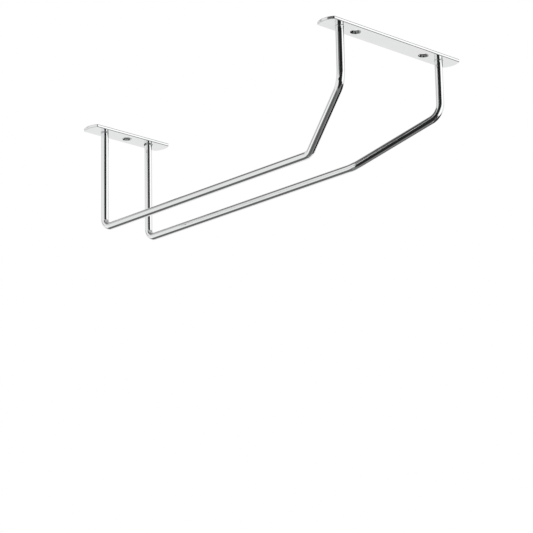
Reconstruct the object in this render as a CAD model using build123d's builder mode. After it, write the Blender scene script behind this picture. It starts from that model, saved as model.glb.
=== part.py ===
from build123d import *
import os

# Hanging stemware rack, in millimetres, +Z up.
# Two flat plates screw up under a shelf, and two bent rods hang below them as rails.
# The mounting face of both plates lies at Z = 0. X runs along the plates and Y from the wide
# front mouth to the closed rear. The origin is midway between the two front screws, on the
# mounting face.

# Plates, cut from one strip
mount_span = 240.0  # front screw line to the rear screw
strip_width = 14.0
strip_thick = 1.8
front_overhang = 11.5  # a front upright's centre line to the plate's corner beyond it
rear_overhang = 12.25
end_bulge = 2.2  # how far an arc end stands out past its corners
corner_round = 0.8
edge_round = 0.3

# Countersunk screw holes
screw_spacing = 60.0  # between the two front screws
screw_hole_dia = 4.2
sink_dia = 6.8
sink_angle = 90.0

# Bent rods
rod_dia = 5.0
rail_spacing = 38.5  # between the centre lines of the rails
mouth_spacing = 87.5  # between the centre lines of the front uprights
rail_depth = 67.5  # mounting face to the rail's centre line at the rear
rail_fall = 4.5  # how much lower the rail ends at the rear than it starts
slant_top_depth = 36.6  # mounting face to where the front upright turns into the slant
slant_reach = 51.0  # how far back the slant runs from the front uprights
rear_bend = 6.0  # bend radii, to the rod's centre line
rail_bend = 12.0
mouth_bend = 11.0

# Welds, one collar where each rod end meets a plate
weld_leg = 0.6  # out along the plate
weld_height = 0.8  # down the rod
weld_fullness_share = 0.66  # 0.5 is a flat bevel, and more bulges outward


def make_plate(label, rod_spacing, overhang, centre_y, screw_places):
    """Cut a plate from strip: shallow arc ends, softened edges and screw holes sunk from below."""
    half_length = rod_spacing / 2 + overhang
    half_width = strip_width / 2
    with BuildPart() as plate:
        with BuildSketch(Plane(origin=(0, centre_y, -strip_thick))):
            with BuildLine():
                Line((-half_length, -half_width), (half_length, -half_width))
                ThreePointArc(
                    (half_length, -half_width),
                    (half_length + end_bulge, 0),
                    (half_length, half_width),
                )
                Line((half_length, half_width), (-half_length, half_width))
                ThreePointArc(
                    (-half_length, half_width),
                    (-half_length - end_bulge, 0),
                    (-half_length, -half_width),
                )
            make_face()
        extrude(amount=strip_thick)
        fillet(plate.edges().filter_by(Axis.Z), radius=corner_round)
        fillet(plate.faces().filter_by(Axis.Z).edges(), radius=edge_round)
        with Locations([Location((x, centre_y, -strip_thick), (180, 0, 0)) for x in screw_places]):
            CounterSinkHole(screw_hole_dia / 2, sink_dia / 2, counter_sink_angle=sink_angle)
    plate.part.label = label
    export_step(plate.part, f"parts/{label}.step")


def make_rod(label, side):
    """Bend one rod: rear upright, rail, slant and front upright. side is -1 left, 1 right."""
    rail_x = side * rail_spacing / 2
    mouth_x = side * mouth_spacing / 2
    with BuildPart() as rod:
        with BuildLine() as route:
            FilletPolyline(
                (rail_x, mount_span, -strip_thick),
                (rail_x, mount_span, -rail_depth),
                (rail_x, slant_reach, rail_fall - rail_depth),
                (mouth_x, 0, -slant_top_depth),
                (mouth_x, 0, -strip_thick),
                radius=(rear_bend, rail_bend, mouth_bend),
            )
        with BuildSketch(Plane(origin=route.line @ 0, z_dir=route.line % 0)):
            Circle(rod_dia / 2)
        sweep()
    rod.part.label = label
    export_step(rod.part, f"parts/{label}.step")


def make_weld(label, x, y):
    """Turn the collar of weld metal around a rod end, up against the plate's underside."""
    rod_radius = rod_dia / 2
    with BuildPart() as collar:
        with BuildSketch(Plane(origin=(x, y, -strip_thick), x_dir=(1, 0, 0), z_dir=(0, -1, 0))):
            with BuildLine():
                Polyline((rod_radius, -weld_height), (rod_radius, 0), (rod_radius + weld_leg, 0))
                ThreePointArc(
                    (rod_radius + weld_leg, 0),
                    (
                        rod_radius + weld_fullness_share * weld_leg,
                        -weld_fullness_share * weld_height,
                    ),
                    (rod_radius, -weld_height),
                )
            make_face()
        revolve(axis=Axis((x, y, 0), (0, 0, 1)))
    collar.part.label = label
    export_step(collar.part, f"parts/{label}.step")


os.makedirs("parts", exist_ok=True)

front_screws = (-screw_spacing / 2, screw_spacing / 2)
make_plate("front_plate", mouth_spacing, front_overhang, 0, front_screws)
make_plate("rear_plate", rail_spacing, rear_overhang, mount_span, (0,))

for name, side in (("left", -1), ("right", 1)):
    make_rod(f"{name}_rail", side)
    make_weld(f"front_{name}_weld", side * mouth_spacing / 2, 0)
    make_weld(f"rear_{name}_weld", side * rail_spacing / 2, mount_span)
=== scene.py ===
# %% [markdown]
# # A chrome rack that hangs under a shelf
#
# The rack is two flat plates and two bent rods, welded together and then chrome plated. Nearly
# all that the eye sees of polished chrome is what stands around it. So this notebook does two
# things: it makes surfaces smooth enough to reflect cleanly, and it builds a small studio that is
# worth reflecting. The packed model is the fixed frame, and every piece is made in its place.

import math

import bmesh
import bpy
from mathutils import Matrix, Quaternion, Vector, noise


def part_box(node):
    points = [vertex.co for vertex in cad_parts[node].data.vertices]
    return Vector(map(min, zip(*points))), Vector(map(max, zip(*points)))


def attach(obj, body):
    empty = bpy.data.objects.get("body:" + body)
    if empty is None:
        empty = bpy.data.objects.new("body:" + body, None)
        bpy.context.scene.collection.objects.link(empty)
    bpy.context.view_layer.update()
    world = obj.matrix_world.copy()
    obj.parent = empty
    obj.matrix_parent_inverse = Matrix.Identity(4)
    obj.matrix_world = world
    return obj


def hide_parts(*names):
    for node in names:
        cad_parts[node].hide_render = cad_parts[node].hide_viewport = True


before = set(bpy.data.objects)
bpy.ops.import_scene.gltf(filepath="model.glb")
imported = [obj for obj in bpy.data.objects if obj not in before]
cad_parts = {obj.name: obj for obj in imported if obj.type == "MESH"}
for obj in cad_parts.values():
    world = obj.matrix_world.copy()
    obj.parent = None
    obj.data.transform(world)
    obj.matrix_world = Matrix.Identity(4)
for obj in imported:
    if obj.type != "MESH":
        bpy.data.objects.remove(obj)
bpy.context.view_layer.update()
bpy.context.scene.view_settings.view_transform = "Standard"
MM = 0.001
for node in sorted(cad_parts):
    low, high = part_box(node)
    print(node, "from", [round(v / MM, 2) for v in low], "to", [round(v / MM, 2) for v in high])

# %% [markdown]
# ## Sizes
#
# The frame's boxes give every size that shows as an outer limit. The few that hide inside the
# bends are the bending sheet of the rod: where the straight lines would meet, and each radius.
# Lengths are in metres, so MM turns a workshop figure into one.

# %% Sizes from the frame
plate_low, plate_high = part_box("front_plate")
rear_low, rear_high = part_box("rear_plate")
rail_low, rail_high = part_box("right_rail")
weld_low, weld_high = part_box("rear_right_weld")

strip_thick = plate_high.z - plate_low.z
strip_width = plate_high.y - plate_low.y
rear_y = (rear_low.y + rear_high.y) / 2
rod_radius = 2.49 * MM  # a hair inside the packed rod, whose rings are coarser
rail_x = rail_low.x + rod_radius
mouth_x = rail_high.x - rod_radius
weld_leg = (weld_high.x - weld_low.x) / 2 - rod_radius
weld_height = weld_high.z - weld_low.z
print("strip", round(strip_width / MM, 2), "x", round(strip_thick / MM, 2), "mm, rear screw line at",
      round(rear_y / MM, 2), "mm")

# %% The bending sheet
rail_depth = 67.5 * MM
rail_fall = 4.5 * MM  # the rail sinks this much on its way to the rear
slant_top_depth = 36.6 * MM
slant_reach = 51.0 * MM
rear_bend = 6.0 * MM
rail_bend = 12.0 * MM
mouth_bend = 11.0 * MM
fall_angle = math.degrees(math.atan2(rail_fall, rear_y - slant_reach))
print("the rails fall", round(fall_angle, 2), "degrees towards the rear")

# %% The strip and its holes
end_bulge = 2.2 * MM
corner_round = 0.8 * MM
edge_round = 0.3 * MM
hole_radius = 2.1 * MM
sink_radius = 3.4 * MM
front_holes = (-30.0 * MM, 30.0 * MM)
rear_holes = (0.0,)
print("holes of", 2 * hole_radius / MM, "mm, sunk to", 2 * sink_radius / MM, "mm from below")

# %% [markdown]
# ## The camera
#
# The view is from the front left and from below, through a long lens. A camera has a place, a
# heading, and a tilt up, and it may lean a little. These came from lining the corners of the
# plates and the lines of the rods up with the photograph. Heading 0 looks along Y and turns
# towards X.

# %% Place the camera
frame_pixels = 533
focal_pixels = 2281.76
heading, tilt, lean = (math.radians(a) for a in (44.699, 15.097, -1.145))
eye = Vector((-0.95908, -0.86019, -0.48532))

ahead = Vector((math.sin(heading) * math.cos(tilt), math.cos(heading) * math.cos(tilt), math.sin(tilt)))
level = Vector((math.cos(heading), -math.sin(heading), 0.0))
side = Quaternion(ahead, -lean) @ level
above = side.cross(ahead)

camera_data = bpy.data.cameras.new("camera")
camera_data.sensor_width = 36.0
camera_data.lens = focal_pixels / frame_pixels * camera_data.sensor_width
camera_data.clip_start, camera_data.clip_end = 0.05, 60.0
camera = bpy.data.objects.new("camera", camera_data)
bpy.context.scene.collection.objects.link(camera)
bpy.context.scene.camera = camera
turn = Matrix((side, above, -ahead)).transposed()
camera.matrix_world = Matrix.Translation(eye) @ turn.to_4x4()
print("lens", round(camera_data.lens, 1), "mm, at", round(eye.length, 2), "m from the mouth of the rack")

# %% [markdown]
# ## Bending a rod
#
# A rail is one length of drawn rod, bent cold three times. A bent rod is straight runs joined by
# arcs that meet them without a kink, so the route is walked in exactly that way. A curve object
# with a round bevel could do it too, but only a mesh can show what cold bending does to the rod:
# in each bend the section flattens a little across the bend and widens along its axis.
#
# A finish is baked into square images when a model leaves Blender, and a rod is over 20 times as
# long as it is round. So its skin is laid out flat here, cut into five lengths that lie side by
# side.

# %% Walk along the bent rod
run_step = 4.0 * MM
turn_step = math.radians(2.5)


def bent_route(corners, radii):
    """Stations along the runs and the arcs between them: place, direction, outward, bend share."""
    stations = []

    def run(start, end):
        steps = math.ceil((end - start).length / run_step)
        way = (end - start).normalized()
        for k in range(steps + 1):
            stations.append((start.lerp(end, k / steps), way, way.orthogonal(), 0.0))

    start = corners[0]
    for before, corner, after, radius in zip(corners, corners[1:], corners[2:], radii):
        enter, leave = (corner - before).normalized(), (after - corner).normalized()
        turn = enter.angle(leave)
        inward = (leave - enter * leave.dot(enter)).normalized()
        first = corner - enter * radius * math.tan(turn / 2)
        centre = first + inward * radius
        run(start, first)
        axis = enter.cross(leave)
        steps = math.ceil(turn / turn_step)
        for k in range(1, steps):
            spin = Quaternion(axis, turn * k / steps)
            bend = math.sin(math.pi * k / steps) ** 2
            stations.append((centre - spin @ inward * radius, spin @ enter, spin @ -inward, bend))
        start = corner + leave * radius * math.tan(turn / 2)
    run(start, corners[-1])
    return stations


print("stations at most", round(run_step / MM, 1), "mm apart, and in a bend at most",
      round(math.degrees(turn_step), 1), "degrees")

# %% Where the straight lines meet
def rail_corners(hand):
    """From the rear plate to the front one, for the left hand, -1, or the right, 1."""
    rail, mouth = hand * rail_x, hand * mouth_x
    return [
        Vector((rail, rear_y, -strip_thick)),
        Vector((rail, rear_y, -rail_depth)),
        Vector((rail, slant_reach, rail_fall - rail_depth)),
        Vector((mouth, 0.0, -slant_top_depth)),
        Vector((mouth, 0.0, -strip_thick)),
    ]


hands = {"left": -1, "right": 1}
routes = {name: bent_route(rail_corners(hand), (rear_bend, rail_bend, mouth_bend))
          for name, hand in hands.items()}
places = [station[0] for station in routes["left"]]
cut_length = sum((b - a).length for a, b in zip(places, places[1:]))
print("each rod is cut", round(cut_length / MM, 1), "mm long,",
      round(cut_length / (math.tau * rod_radius), 1), "times its way round")

# %% Lay the skin out flat
rod_sides = 64
flat_strips = 5
strip_margin = 0.01  # of a strip's height, kept free along both of its sides
cap_room = 0.03  # of the flat layout's height, for the rod's two end faces
cap_radius = cap_room / 3
cap_middles = (0.02, 0.06)


def lay_corners(face, flat, places):
    """Give a face's corners their places in the flat layout."""
    for corner, place in zip(face.loops, places):
        corner[flat].uv = place


def lay_cap(cap, flat, middle):
    """Lay an end face out as a small disc above the strips."""
    for k, corner in enumerate(cap.loops):
        turn = math.tau * k / rod_sides
        height = 1 - cap_room / 2 + cap_radius * math.sin(turn)
        corner[flat].uv = (middle + cap_radius * math.cos(turn), height)


print(flat_strips, "strips of", round(cut_length / flat_strips / MM, 1), "mm each")

# %% Sweep the round section along it
flatten_share = 0.035  # of the radius, lost across the middle of a bend
widen_share = 0.025


def sweep_rod(name, stations):
    """A closed tube of rings. The attribute drawn is each point's place on the straight rod, in mm."""
    build = bmesh.new()
    drawn = build.verts.layers.float_vector.new("drawn")
    flat = build.loops.layers.uv.new("OFBake")
    rings, marks, along = [], [], 0.0
    across = stations[0][1].orthogonal().normalized()
    last_place, last_way = stations[0][:2]
    for place, way, outward, bend in stations:
        along += (place - last_place).length
        across = last_way.rotation_difference(way) @ across
        binormal = way.cross(outward).normalized()
        ring = []
        for k in range(rod_sides):
            angle = math.tau * k / rod_sides
            offset = (across * math.cos(angle) + way.cross(across) * math.sin(angle)) * rod_radius
            offset -= outward * offset.dot(outward) * flatten_share * bend
            offset += binormal * offset.dot(binormal) * widen_share * bend
            point = build.verts.new(place + offset)
            straight = Vector((math.cos(angle) * rod_radius, math.sin(angle) * rod_radius, along))
            point[drawn] = straight / MM
            ring.append(point)
        rings.append(ring)
        marks.append(along)
        last_place, last_way = place, way
    strip_length = along / flat_strips
    for one, two, start, end in zip(rings, rings[1:], marks, marks[1:]):
        strip = min(int(start / strip_length), flat_strips - 1)
        u, next_u = ((mark - strip * strip_length) / (strip_length + run_step) for mark in (start, end))
        for k in range(rod_sides):
            j = (k + 1) % rod_sides
            face = build.faces.new((one[k], one[j], two[j], two[k]))
            shares = (strip_margin + (1 - 2 * strip_margin) * n / rod_sides for n in (k, k + 1))
            v, next_v = ((strip + share) * (1 - cap_room) / flat_strips for share in shares)
            lay_corners(face, flat, ((u, v), (u, next_v), (next_u, next_v), (next_u, v)))
    for ring, middle in zip((rings[0][::-1], rings[-1]), cap_middles):
        cap = build.faces.new(ring)
        lay_cap(cap, flat, middle)
        for edge in cap.edges:
            edge.smooth = False
    return finish_mesh(name, build)


print("a bend flattens the rod by", round(2 * flatten_share * rod_radius / MM, 2), "mm at most")

# %% Bend the two rails
def finish_mesh(name, build):
    """Close the bmesh into an object with smooth faces that all look outward."""
    bmesh.ops.recalc_face_normals(build, faces=build.faces)
    for face in build.faces:
        face.smooth = True
    mesh = bpy.data.meshes.new(name)
    build.to_mesh(mesh)
    build.free()
    piece = bpy.data.objects.new(name, mesh)
    bpy.context.scene.collection.objects.link(piece)
    return piece


rails = {}
for hand_name, stations in routes.items():
    rail = sweep_rod(f"{hand_name}_rail_rod", stations)
    rails[hand_name] = rail
    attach(rail, "root")
    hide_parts(f"{hand_name}_rail")
    print(rail.name, len(stations), "rings,", len(rail.data.polygons), "faces")

# %% [markdown]
# ## Cutting the plates
#
# Each plate is cropped from flat strip by a curved blade, so its ends are shallow arcs, and its
# edges come out of the polishing drum a little round. A mirror shows every false normal, so the
# plate isn't a bevelled box. Its edge is a stack of rings, each the outline drawn in by some
# inset, and the flat faces end in a narrow ring of their own, which keeps them optically flat.
# Each ring also says how worn the edge is there and how thin its plating, for the finish to use:
# along the strip's long edges the polishing wheel rubs through to the darker metal. In the holes'
# bores the same dark colour is painted shade.

# %% The outline and the edge's section
corner_steps = 12
end_steps = 36
round_steps = 6  # in the quarter turn of an edge's rounding


def arc(centre, radius, start, end, steps):
    """Points on an arc in plan with the way outward: pairs of (x, y)."""
    turns = [start + (end - start) * k / steps for k in range(steps + 1)]
    ways = [(math.cos(t), math.sin(t)) for t in turns]
    return [((centre[0] + radius * c, centre[1] + radius * s), (c, s)) for c, s in ways]


def plate_outline(corner_x):
    """The outline in plan, anticlockwise, about the plate's middle."""
    half_width = strip_width / 2
    end_radius = (half_width**2 + end_bulge**2) / (2 * end_bulge)
    end_centre = corner_x + end_bulge - end_radius
    round_y = half_width - corner_round
    round_x = end_centre + math.sqrt((end_radius - corner_round) ** 2 - round_y**2)
    meet = math.atan2(round_y, round_x - end_centre)
    right = arc((round_x, -round_y), corner_round, -math.pi / 2, -meet, corner_steps)
    right += arc((end_centre, 0.0), end_radius, -meet, meet, end_steps)[1:-1]
    right += arc((round_x, round_y), corner_round, meet, math.pi / 2, corner_steps)
    left = [((-x, -y), (-u, -v)) for (x, y), (u, v) in right]
    return right + left


support = 0.02 * MM  # the narrow ring that keeps a flat face flat
fade = 0.45 * MM  # how far in from an edge its wear reaches, less than the corners' rounding
rubbed = (0.7, 1.0)  # how thin the polishing wheel leaves the plating along the lower and upper edge
rub_reach = 0.2 * MM  # how far onto the narrow side it rubs
rim_wear = 0.6  # the edge wear where a flat face meets its rounding, of 1 on the rounding
quarter = [math.pi / 2 * k / round_steps for k in range(round_steps + 1)]


def edge_section():
    """From the underside's flat round to the top's: inset, height, edge wear, and how thin the plating."""
    low, r = -strip_thick, edge_round
    section = [(r + fade, low, 0.0, 0.0), (r + support, low, rim_wear, 0.0)]
    section += [(r - r * math.sin(a), low + r - r * math.cos(a), 1.0, rubbed[0] * math.sin(a) ** 0.5)
                for a in quarter]
    section += [(0.0, low + r + rub_reach, 1.0, 0.0), (0.0, -r - rub_reach, 1.0, 0.0)]
    section += [(r - r * math.cos(a), r * math.sin(a) - r, 1.0, rubbed[1] * math.cos(a) ** 0.5)
                for a in quarter]
    return section + [(r + support, 0.0, rim_wear, 0.0), (r + fade, 0.0, 0.0, 0.0)]


print(len(edge_section()), "rings round an edge")

# %% The hole's section
sink_slope = math.radians(45)  # so the sink is as deep as it is wide
sink_lip = 0.15 * MM
sink_root = 0.08 * MM
top_lip = 0.1 * MM
lip_steps = 4
root_wear = 0.4
bore_thin_and_shade = 0.85  # how thin the plating is in the bore, where the bath's current hardly reaches, and painted shade, which darkens the bore nearly to black
cone_rings = ((0.12, 0.0), (0.5, 0.0), (0.88, 0.12))  # share of the way down, and how thin the plating is, with painted shade nearest the bore
hole_sides = 72


def hole_section():
    """From the underside's flat, down the cone and the bore, to the top's.

    Each row is the radius, the height, the edge wear, and how thin the plating is, painted shade in the
    bore.
    """
    low, half = -strip_thick, [sink_slope * k / lip_steps for k in range(lip_steps + 1)]
    reach = math.tan(sink_slope / 2)
    lip_r = sink_radius + sink_lip * reach
    section = [(lip_r + fade, low, 0.0, 0.0), (lip_r + support, low, rim_wear, 0.0)]
    section += [(lip_r - sink_lip * math.sin(a), low + sink_lip * (1 - math.cos(a)), 1.0, 0.0)
                for a in half]
    root_z = low + sink_radius - hole_radius + sink_root * reach
    root_r = hole_radius + sink_root
    cone_r, cone_z = section[-1][:2]
    for share, thin in cone_rings:
        section.append((cone_r + (root_r - cone_r) * share, cone_z + (root_z - cone_z) * share, 0.0, thin))
    section += [(root_r - sink_root * math.cos(a), root_z - sink_root * math.sin(a), root_wear,
                 bore_thin_and_shade) for a in half[::-1]]
    top_r = hole_radius + top_lip
    # The bore's thin plating and painted shade run out over the top lip.
    section += [(top_r - top_lip * math.cos(a), top_lip * math.sin(a) - top_lip, 1.0,
                 bore_thin_and_shade * (1 - a / quarter[-1])) for a in quarter]
    return section + [(top_r + support, 0.0, rim_wear, 0.0), (top_r + fade, 0.0, 0.0, 0.0)]


print(len(hole_section()), "rings through a hole")

# %% Join rings into a band
def ring_stack(build, layers, loops):
    """Join rings of points, given as (place, wear, thin), into a band. Gives the end rings' edges."""
    drawn, edge_wear, thin_plating_and_shade = layers
    rings = []
    for loop in loops:
        ring = []
        for place, wear, thin in loop:
            point = build.verts.new(place)
            point[drawn] = Vector((place.y, place.z, place.x)) / MM
            point[edge_wear] = wear
            point[thin_plating_and_shade] = thin
            ring.append(point)
        rings.append(ring)
    count = len(rings[0])
    for one, two in zip(rings, rings[1:]):
        for k in range(count):
            j = (k + 1) % count
            build.faces.new((one[k], one[j], two[j], two[k]))
    return [[build.edges.get((ring[k], ring[(k + 1) % count])) for k in range(count)]
            for ring in (rings[0], rings[-1])]


print("a band round the front plate has", len(plate_outline(plate_high.x - end_bulge)), "sides")

# %% Build the plates
def make_plate(name, corner_x, centre_y, hole_places):
    """Edge bands, hole bands, and the two flat faces between them."""
    build = bmesh.new()
    layers = [build.verts.layers.float_vector.new("drawn")]
    layers += [build.verts.layers.float.new(label) for label in ("edge_wear", "thin_plating_and_shade")]
    outline = plate_outline(corner_x)
    loops = [[(Vector((x - u * inset, centre_y + y - v * inset, height)), wear, thin * v**4)
              for (x, y), (u, v) in outline] for inset, height, wear, thin in edge_section()]
    under, top = ring_stack(build, layers, loops)
    turns = [math.tau * k / hole_sides for k in range(hole_sides)]
    for hole_x in hole_places:
        centre = Vector((hole_x, centre_y, 0.0))
        loops = [[(centre + Vector((radius * math.cos(t), radius * math.sin(t), height)), wear, thin)
                  for t in turns] for radius, height, wear, thin in hole_section()]
        hole_under, hole_top = ring_stack(build, layers, loops)
        under += hole_under
        top += hole_top
    for rim in (under, top):
        bmesh.ops.triangle_fill(build, use_beauty=True, edges=rim)
    return finish_mesh(name, build)


plates = {}
for node, box, centre_y, hole_places in (
    ("front_plate", (plate_low, plate_high), 0.0, front_holes),
    ("rear_plate", (rear_low, rear_high), rear_y, rear_holes),
):
    plate = make_plate(f"{node}_strip", box[1].x - end_bulge, centre_y, hole_places)
    plates[node] = plate
    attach(plate, "root")
    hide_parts(node)
    print(plate.name, len(plate.data.polygons), "faces")

# %% [markdown]
# ## Welding
#
# Where a rod stands on a plate, a resistance welder melts the two together and squeezes out a
# small collar of metal. No two collars are alike: the metal runs out further on one side and
# stands taller on another. The collar is a ring of sections whose reach, height and fullness
# wander round the rod with smooth noise, seeded by a number for each joint. One joint was welded
# hotter than the others, and its collar is bigger. Painted shade darkens and dulls every collar in
# patches, and that one most.

# %% How a weld wanders
# Each trait's middle, how far it wanders, how fast it does so round the rod, and the number that
# it adds to the seed, so that no two of them wander together.
traits = {
    "lump": (0.0, 0.15, 3.6, 17),
    "leg": (0.55, 0.45, 1.5, 0),
    "height": (0.72, 0.28, 1.1, 5),
    "fullness": (1.25, 0.35, 2.1, 9),
    # the patches of painted shade on a collar
    "painted_shade": (0.5, 1.8, 2.5, 205.25),
    "ripple": (0.0, 0.07, 4.5, 13),
}


def wander(trait, angle, seed):
    """A trait at an angle round the rod, from smooth noise on a circle."""
    middle, swing, speed, shift = traits[trait]
    spot = Vector((math.cos(angle) * speed, math.sin(angle) * speed, seed + shift))
    return middle + swing * noise.noise(spot)


print("on one side of a weld:", {trait: round(wander(trait, 0.0, 0.0), 2) for trait in traits})

# %% Squeeze out the welds
weld_sides = 96
weld_steps = 14
bury = 0.05 * MM  # how far the collar's hidden side lies inside the rod


def make_weld(name, x, y, seed, size, painted_shade):
    """A closed ring of sections between the rod and the underside of the plate."""
    build = bmesh.new()
    drawn = build.verts.layers.float_vector.new("drawn")
    thin_plating_and_shade = build.verts.layers.float.new("thin_plating_and_shade")
    flat = build.loops.layers.uv.new("OFBake")
    rings = []
    for k in range(weld_sides):
        angle = math.tau * k / weld_sides
        lump = wander("lump", angle, seed)
        leg = weld_leg * size * (wander("leg", angle, seed) + lump)
        height = weld_height * size * (wander("height", angle, seed) + lump)
        fullness = wander("fullness", angle, seed)
        # Where the collar is darkened with painted shade, from 0 to 1
        shade_patch = min(max(wander("painted_shade", angle, seed), 0.0), 1.0)
        section = []
        for step in range(weld_steps + 1):
            a = math.pi / 2 * step / weld_steps
            ripple = 1 + wander("ripple", angle + a, seed) * math.sin(2 * a)
            section.append((rod_radius + leg * math.cos(a) ** fullness * ripple,
                            -height * math.sin(a) ** fullness * ripple))
        section += [(rod_radius - bury, section[-1][1]), (rod_radius - bury, 0.0)]
        ring = []
        for radius, drop in section:
            place = Vector((x + radius * math.cos(angle), y + radius * math.sin(angle), drop - strip_thick))
            point = build.verts.new(place)
            point[drawn] = place / MM
            point[thin_plating_and_shade] = painted_shade * shade_patch
            ring.append(point)
        rings.append(ring)
    count = len(rings[0])
    for i, (one, two) in enumerate(zip(rings, rings[1:] + rings[:1])):
        u, next_u = i / weld_sides, (i + 1) / weld_sides
        for k in range(count):
            j = (k + 1) % count
            face = build.faces.new((one[k], one[j], two[j], two[k]))
            v, next_v = k / count, (k + 1) / count
            lay_corners(face, flat, ((u, v), (u, next_v), (next_u, next_v), (next_u, v)))
        for k in (0, weld_steps, weld_steps + 1, weld_steps + 2):
            build.edges.get((one[k], two[k])).smooth = False
    return finish_mesh(name, build)


welds = []
# Each joint's end, side, size, and how much painted shade darkens its collar in patches
for end, hand_name, size, painted_shade in (
    ("front", "left", 0.85, 0.1),
    ("front", "right", 0.85, 0.1),
    ("rear", "left", 1.0, 0.1),
    ("rear", "right", 1.25, 1.0),
):
    x, y = (mouth_x, 0.0) if end == "front" else (rail_x, rear_y)
    hand = hands[hand_name]
    weld = make_weld(f"{end}_{hand_name}_bead", hand * x, y, 11.3 * hand + y / MM, size, painted_shade)
    welds.append(weld)
    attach(weld, "root")
    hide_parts(f"{end}_{hand_name}_weld")
    print(weld.name, len(weld.data.polygons), "faces")

# %% [markdown]
# ## Writing a finish as sums
#
# A procedural finish is arithmetic on numbers that vary over the surface. Written as Python
# expressions it reads like arithmetic, so one small class wraps a socket, and its operators add
# Math nodes. Every other node comes from the one method below it.

# %% Numbers that vary over a surface
class Value:
    """A socket of a finish. Sums with it add Math nodes."""

    def __init__(self, finish, socket):
        self.finish, self.socket = finish, socket

    def math(self, operation, *others):
        sockets = dict(enumerate((self, *others)))
        return self.finish.node("Math", {"operation": operation}, sockets)

    def __add__(self, other):
        return self.math("ADD", other)

    def __sub__(self, other):
        return self.math("SUBTRACT", other)

    def __rsub__(self, other):
        return self.finish.node("Math", {"operation": "SUBTRACT"}, {0: other, 1: self})

    def __mul__(self, other):
        return self.math("MULTIPLY", other)

    def __truediv__(self, other):
        return self.math("DIVIDE", other)

    def __abs__(self):
        return self.math("ABSOLUTE")

    __radd__, __rmul__ = __add__, __mul__

    def rise(self, start, end):
        """0 before start, 1 after end, and smooth between them."""
        settings = {"interpolation_type": "SMOOTHSTEP"}
        return self.finish.node("MapRange", settings, {"Value": self, "From Min": start, "From Max": end})


known = sorted(name.strip("_") for name, part in vars(Value).items() if callable(part))
print("a Value knows", ", ".join(known))

# %% The nodes of a finish
class Finish:
    """The emptied node tree of a material or a world."""

    def __init__(self, owner):
        owner.use_nodes = True
        self.owner = owner
        self.tree = owner.node_tree
        self.tree.nodes.clear()

    def node(self, kind, settings=None, sockets=None, output=0):
        """Add a node: its type, its settings, then its sockets' values or links. Gives one output."""
        made = self.tree.nodes.new(f"ShaderNode{kind}")
        for name, setting in (settings or {}).items():
            setattr(made, name, setting)
        for key, value in (sockets or {}).items():
            socket = pick(made.inputs, key)
            if isinstance(value, Value):
                self.tree.links.new(value.socket, socket)
            else:
                socket.default_value = value
        outputs = [s for s in made.outputs if s.enabled]
        return Value(self, pick(outputs, output)) if outputs else made


def pick(sockets, key):
    """A socket by its place or its name. A Mix node has one of each name for every kind of value."""
    if isinstance(key, int):
        return sockets[key]
    return next(s for s in sockets if s.enabled and s.name == key)


kinds = [kind for kind in dir(bpy.types) if kind.startswith("ShaderNode")]
print(len(kinds), "kinds of shader node can be called by name")

# %% [markdown]
# ## Chrome
#
# Bright chrome is nickel with a thin blue-white skin of chromium. It is nearly a mirror, but never
# a perfect one. The steel below keeps fine lines from the drawing die or the rolling mill, the
# bath leaves a faint orange peel and patches of haze, hands leave soft smudges, and cleaning
# leaves hairlines. The plates' mounting faces aren't buffed, since nobody sees them, so there the
# rolled strip's grain still shows through a satin plating. Each of these is a pattern in
# millimetres on the piece's own drawn attribute, whose third axis is the grain.

# %% Patterns and metals
def speckle(finish, place, stretch, detail, seed):
    """Smooth noise, about 0 to 1, at so many features per mm along each axis."""
    offset = [seed * 7.1, seed * 3.7, seed * 5.3]
    moved = finish.node("VectorMath", {"operation": "MULTIPLY_ADD"}, {0: place, 1: stretch, 2: offset})
    return finish.node("TexNoise", {}, {"Vector": moved, "Scale": 1.0, "Detail": detail, "Roughness": 0.55})


bare_metal_and_shade = (0.126, 0.125, 0.124)  # the colour where the plating is thinnest, as dark as painted shade in the bores and on the welds
satin_metal = (0.8, 0.8, 0.8)  # and on the unbuffed side
haze_share = 0.955  # of the colour that is left where haze is thickest
sway_times = 14  # the height of a bent rod's or a rolled strip's slow sway, in peel heights
unbuffed_depth = (-0.06, -0.01)  # mm from the mounting face, where the unbuffed side starts and is full
unbuffed_grain = 4e-7  # its grain's height, in metres
print("where the plating is thinnest it reflects", bare_metal_and_shade, "of red, green and blue light")

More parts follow.
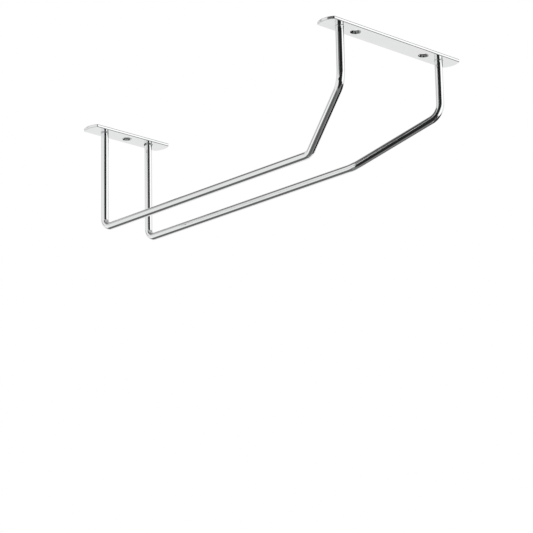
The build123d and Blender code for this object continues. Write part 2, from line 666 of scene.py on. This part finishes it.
# %% The chrome finish
def chrome(name, colour, smooth, grain_height, peel_height, plate=False, thinned_and_shaded=False):
    """A finish from plating's own flaws, and painted shade where it's thin. Heights are in metres."""
    finish = Finish(bpy.data.materials.new(name))
    place = finish.node("Attribute", {"attribute_name": "drawn"}, {}, "Vector")
    haze = speckle(finish, place, (0.11, 0.11, 0.05), 3.0, 1).rise(0.42, 0.68)
    smudge = speckle(finish, place, (0.07, 0.07, 0.045), 2.0, 2).rise(0.56, 0.7)
    ridge = speckle(finish, place, (0.9, 0.9, 0.9), 4.0, 3).rise(0.35, 0.65)
    grain = speckle(finish, place, (11.0, 11.0, 0.05), 3.0, 4)
    hair = abs(speckle(finish, place, (0.8, 0.8, 0.16), 1.0, 5) - 0.5)
    hairline = (1 - hair.rise(0.0, 0.005)) * haze
    rough = smooth + 0.03 * haze + 0.07 * smudge * (0.6 + 0.4 * ridge) + 0.02 * grain + 0.05 * hairline
    peel = speckle(finish, place, (0.55, 0.55, 0.45), 2.0, 6)
    sway = speckle(finish, place, (0.06, 0.06, 0.03), 1.0, 7)
    height = grain_height * grain + peel_height * peel + sway_times * peel_height * sway
    dull = tuple(c * haze_share for c in colour)
    tone = finish.node("Mix", {"data_type": "RGBA"}, {
        "Factor": haze * 0.5 + smudge * 0.4, "A": (*colour, 1.0), "B": (*dull, 1.0)})
    metal = 1.0
    if plate:
        wear = finish.node("Attribute", {"attribute_name": "edge_wear"}, {}, "Fac")
        unbuffed = finish.node("SeparateXYZ", {}, {"Vector": place}, "Y").rise(*unbuffed_depth)
        rough = rough + 0.06 * wear + unbuffed * (0.16 + 0.12 * grain)
        height = height + unbuffed * unbuffed_grain * grain
        metal = 1 - 0.25 * unbuffed
        tone = finish.node("Mix", {"data_type": "RGBA"}, {
            "Factor": unbuffed * (0.6 + 0.4 * ridge), "A": tone, "B": (*satin_metal, 1.0)})
    # Thin plating mixes in the dark colour, which in the bores and the welds' patches is painted shade.
    if thinned_and_shaded:
        thin = finish.node("Attribute", {"attribute_name": "thin_plating_and_shade"}, {}, "Fac")
        rough = rough + 0.3 * thin
        tone = finish.node("Mix", {"data_type": "RGBA"}, {
            "Factor": thin, "A": tone, "B": (*bare_metal_and_shade, 1.0)})
    bump = finish.node("Bump", {}, {"Strength": 1.0, "Distance": 1.0, "Height": height})
    shader = finish.node("BsdfPrincipled", {}, {
        "Base Color": tone, "Metallic": metal, "Roughness": rough, "Normal": bump})
    finish.node("OutputMaterial", {}, {"Surface": shader})
    return finish.owner


plate_chrome = chrome(
    "plate_chrome_polished", (0.88, 0.885, 0.89), 0.035, 3e-8, 1.6e-7, plate=True, thinned_and_shaded=True)
rod_chrome = chrome("rod_chrome_polished", (0.88, 0.885, 0.89), 0.03, 5e-8, 1.2e-7)
weld_chrome = chrome("weld_chrome_polished", (0.84, 0.845, 0.85), 0.09, 2e-7, 6e-7, thinned_and_shaded=True)
print(len(plate_chrome.node_tree.nodes), "nodes in the plates' finish")

# %% Chrome the pieces
for piece, material in ([(p, plate_chrome) for p in plates.values()]
                        + [(r, rod_chrome) for r in rails.values()]
                        + [(w, weld_chrome) for w in welds]):
    piece.data.materials.append(material)
    print(piece.name, "wears", material.name)

# %% [markdown]
# ## The studio
#
# The rack hangs in the middle of a white room. A long way below it is a pale floor, which fades
# into the white. Chrome in an all white room looks like plaster, so a photographer stands boards
# round it: a dark one where the camera looks through, which draws the black line down each rod, a
# grey ceiling, a table under the rack, and a softbox for the highlight beside the line. Smaller
# flags, which are dark, and cards, which are paler, draw the finer lines. Only the reflections see
# the boards. They aren't lamps, so they don't change the light on the object.

# %% A board with soft edges
def board_finish(name, tone):
    """A board that shows one plain tone, whatever the light, and thins out to nothing at its rim."""
    finish = Finish(bpy.data.materials.new(name))
    glow = finish.node("Emission", {}, {"Color": (tone, tone, tone, 1.0), "Strength": 1.0})
    clear = finish.node("BsdfTransparent")
    cover = finish.node("Attribute", {"attribute_name": "cover"}, {}, "Fac")
    surface = finish.node("MixShader", {}, {0: cover.rise(0.0, 1.0), 1: clear, 2: glow})
    finish.node("OutputMaterial", {}, {"Surface": surface})
    finish.owner.cycles.emission_sampling = "NONE"
    return finish.owner


def stand_board(name, grid, covers, tone):
    """A board from rows of points with how much each covers. Only a reflection sees it."""
    points = [p for row in grid for p in row]
    width = len(grid[0])
    faces = [(r * width + c, r * width + c + 1, (r + 1) * width + c + 1, (r + 1) * width + c)
             for r in range(len(grid) - 1) for c in range(width - 1)]
    mesh = bpy.data.meshes.new(name)
    mesh.from_pydata(points, [], faces)
    cover = mesh.attributes.new("cover", "FLOAT", "POINT")
    cover.data.foreach_set("value", [value for row in covers for value in row])
    mesh.materials.append(board_finish(name, tone))
    board = bpy.data.objects.new(name, mesh)
    bpy.context.scene.collection.objects.link(board)
    board.visible_camera = board.visible_diffuse = board.visible_transmission = False
    board.visible_shadow = board.visible_volume_scatter = False


# %% Places round the rack
def compass(heading, reach, height):
    """A point round the mouth of the rack. Heading 0 is along Y, and 90 along X."""
    turn = math.radians(heading)
    return Vector((math.sin(turn) * reach, math.cos(turn) * reach, height))


def spread(start, end, steps, soft):
    """Marks from start to end, with a soft margin half inside and half outside each end."""
    inner, outer = start + soft / 2, end - soft / 2
    marks = [inner + (outer - inner) * k / steps for k in range(steps + 1)]
    return [start - soft / 2, *marks, end + soft / 2]


def between(marks, value):
    """Read a list of (place, values) marks at a value, straight between two of them."""
    value = min(max(value, marks[0][0]), marks[-1][0])
    for (low, *first), (high, *second) in zip(marks, marks[1:]):
        if value <= high:
            share = (value - low) / (high - low)
            return [a + (b - a) * share for a, b in zip(first, second)]


print("a board of 30 degrees with its soft margins:", spread(0, 30, 4, 2.0))

# %% Stand the upright boards
board_rows, board_columns = 8, 16


def upright_board(name, distance, rows, tone, soft=2.0):
    """A board bent round the rack. Each row is an elevation and the headings of the two sides there."""
    grid = []
    for rise in spread(rows[0][0], rows[-1][0], board_rows, soft):
        left, right = between(rows, rise)
        height = math.tan(math.radians(rise)) * distance
        grid.append([compass(t, distance, height) for t in spread(left, right, board_columns, soft)])
    covers = [[1.0] * len(row) for row in grid]
    covers[0] = covers[-1] = [0.0] * len(grid[0])
    for row in covers:
        row[0] = row[-1] = 0.0
    stand_board(name, grid, covers, tone)


upright_board("camera_board", 0.36, [
    (-70, -162, -92), (-40, -180, -90), (-15, -168, -102), (15, -184, -104), (55, -198, -112)], 0.02)
upright_board("left_flag", 0.37, [(-8, -98, -88), (15, -104, -75), (46, -106, -94)], 0.14)
upright_board("low_left_flag", 0.37, [(-26, -104, -94), (-21, -104, -86), (-13, -104, -78)], 0.02)
upright_board("upper_left_flag", 0.8, [(33, -99, -68), (50, -98, -64)], 0.01)
upright_board("upper_middle_flag", 0.85, [(31, -80, 12), (54, -77, -6)], 0.13)
upright_board("upper_front_card", 0.86, [(5, -9, 47), (80, -1, 45)], 0.69)
upright_board("upper_right_flag", 0.8, [(36, 53, 130), (49, 45, 130)], 0.24)
upright_board("left_card", 1.1, [(15, -35, -17), (57, -50, -2)], 0.52)
upright_board("softbox", 1.2, [
    (-32, 135, 196), (8, 133, 196), (14, 124, 196), (28, 124, 195), (45, 132, 195)], 1.2)
upright_board("back_flag", 0.5, [(-52, 150, 182), (-35, 152, 182)], 0.01)
upright_board("low_right_flag", 0.9, [(-64, 76, 133), (-38, 72, 144), (-6, 73, 98)], 0.01)
upright_board("near_shade", 0.3, [(-71, -60, 12), (-60, -45, 0)], 0.09)
upright_board("thin_grey_card", 0.8, [(-4, -25, -11), (6, -18, -3)], 0.35)
upright_board("low_white_card", 0.8, [(-23, -30, -20), (-11, -27, -18)], 1.1)
boards = [mesh.name for mesh in bpy.data.meshes if "cover" in mesh.attributes]
print(len(boards), "upright boards:", ", ".join(boards))

# %% Hang the level boards
overhead = 89.9  # degrees up, where a ring closes over its middle


def level_board(name, height, inner, outer, tone, soft=2.0):
    """A level ring. Its rims are elevations, the outer one a list of (heading, elevation)."""
    headings = range(-180, 181, 5)
    grid = []
    for lift in (soft / 2, -soft / 2):
        grid.append([(t, min(inner + lift, overhead)) for t in headings])
    for lift in (soft / 2, -soft / 2):
        grid.append([(t, between(outer, t)[0] + lift) for t in headings])
    grid = [[compass(t, abs(height) / math.tan(math.radians(rise)), height) for t, rise in row]
            for row in grid]
    covers = [[value] * len(headings) for value in (float(inner > overhead), 1.0, 1.0, 0.0)]
    stand_board(name, grid, covers, tone)


def even(rise):
    """The rim of a round board."""
    return [(-180, rise), (180, rise)]


level_board("table_middle", -1.3, 90, even(62), 0.2)
level_board("table_rim", -1.3, 62, [
    (-180, 47), (-120, 47), (-90, 42), (-60, 45), (-30, 36), (-15, 31), (0, 14), (12, 29), (24, 28),
    (36, 48), (50, 40), (70, 45), (140, 45), (180, 47)], 0.14)
level_board("ceiling_middle", 0.9, 90, even(72), 0.6)
level_board("ceiling_ring", 0.9, 72, even(61), 0.35)
level_board("ceiling_rim", 0.9, 61, even(54), 0.13)
covered = [mesh for mesh in bpy.data.meshes if "cover" in mesh.attributes]
print(len(covered) - len(boards), "level boards more")

# %% [markdown]
# ## Light, floor and background
#
# Two soft lamps and the white room light the scene at a level where a white card would render
# white. The floor lies a cupboard's height below, and its white fades into the room's.

# %% Lamps
middle = Vector((0.0, rear_y / 2, 0.0))


def lamp(name, place, size, watts):
    """A square softbox that faces the rack."""
    data = bpy.data.lights.new(name, "AREA")
    data.size, data.energy = size, watts
    light = bpy.data.objects.new(name, data)
    bpy.context.scene.collection.objects.link(light)
    light.location = place
    light.rotation_mode = "QUATERNION"
    light.rotation_quaternion = (middle - light.location).to_track_quat("-Z", "Y")
    light.visible_camera = light.visible_glossy = False
    print(name, "of", watts, "W,", round((middle - light.location).length, 2), "m away")


lamp("key_lamp", (1.3, -1.6, 1.5), 1.2, 6.0)
lamp("fill_lamp", (-1.8, 1.0, 1.2), 1.6, 5.0)

# %% The white room
seen_tone = 1.0  # what the camera sees of the walls and the far floor
shiny_tone = 0.87  # what the chrome sees of the walls and the floor
light_tone = 0.8  # what lights the matt faces

world = bpy.data.worlds.new("room")
bpy.context.scene.world = world
room = Finish(world)
seen = room.node("LightPath", {}, {}, "Is Camera Ray")
shiny = room.node("LightPath", {}, {}, "Is Glossy Ray")
plain, walls, dim = (room.node("Background", {}, {"Color": (1.0, 1.0, 1.0, 1.0), "Strength": tone})
                     for tone in (seen_tone, shiny_tone, light_tone))
unseen = room.node("MixShader", {}, {0: shiny, 1: dim, 2: walls})
whole = room.node("MixShader", {}, {0: seen, 1: unseen, 2: plain})
room.node("OutputWorld", {}, {"Surface": whole})
print("the room shows as", seen_tone, "and reflects as", shiny_tone)

# %% The floor
floor_drop = 1.45
floor_radius = 14.0
fade_from, fade_to = 2.0, 6.0

floor_build = bmesh.new()
bmesh.ops.create_circle(floor_build, cap_ends=True, cap_tris=False, segments=96, radius=floor_radius)
floor_mesh = bpy.data.meshes.new("floor")
floor_build.to_mesh(floor_mesh)
floor_build.free()
floor = bpy.data.objects.new("floor", floor_mesh)
bpy.context.scene.collection.objects.link(floor)
floor.location = (0.0, rear_y / 2, -floor_drop)

floor_finish = Finish(bpy.data.materials.new("floor_paint"))
where = floor_finish.node("TexCoord", {}, {}, "Object")
distance = floor_finish.node("VectorMath", {"operation": "LENGTH"}, {0: where}, "Value")
seen = floor_finish.node("LightPath", {}, {}, "Is Camera Ray")
paint = floor_finish.node("BsdfDiffuse", {}, {"Color": (0.9, 0.9, 0.9, 1.0)})
white, gleam = (floor_finish.node("Emission", {}, {"Color": (1.0, 1.0, 1.0, 1.0), "Strength": tone})
                for tone in (seen_tone, shiny_tone))
shiny = floor_finish.node("LightPath", {}, {}, "Is Glossy Ray")
far = floor_finish.node("MixShader", {}, {0: distance.rise(fade_from, fade_to) * seen, 1: paint, 2: white})
surface = floor_finish.node("MixShader", {}, {0: shiny, 1: far, 2: gleam})
floor_finish.node("OutputMaterial", {}, {"Surface": surface})
floor_mesh.materials.append(floor_finish.owner)
print("the floor lies", floor_drop, "m below the plates")

# %% A box as its two corners
def corners(low, high):
    return [list(low), list(high)]
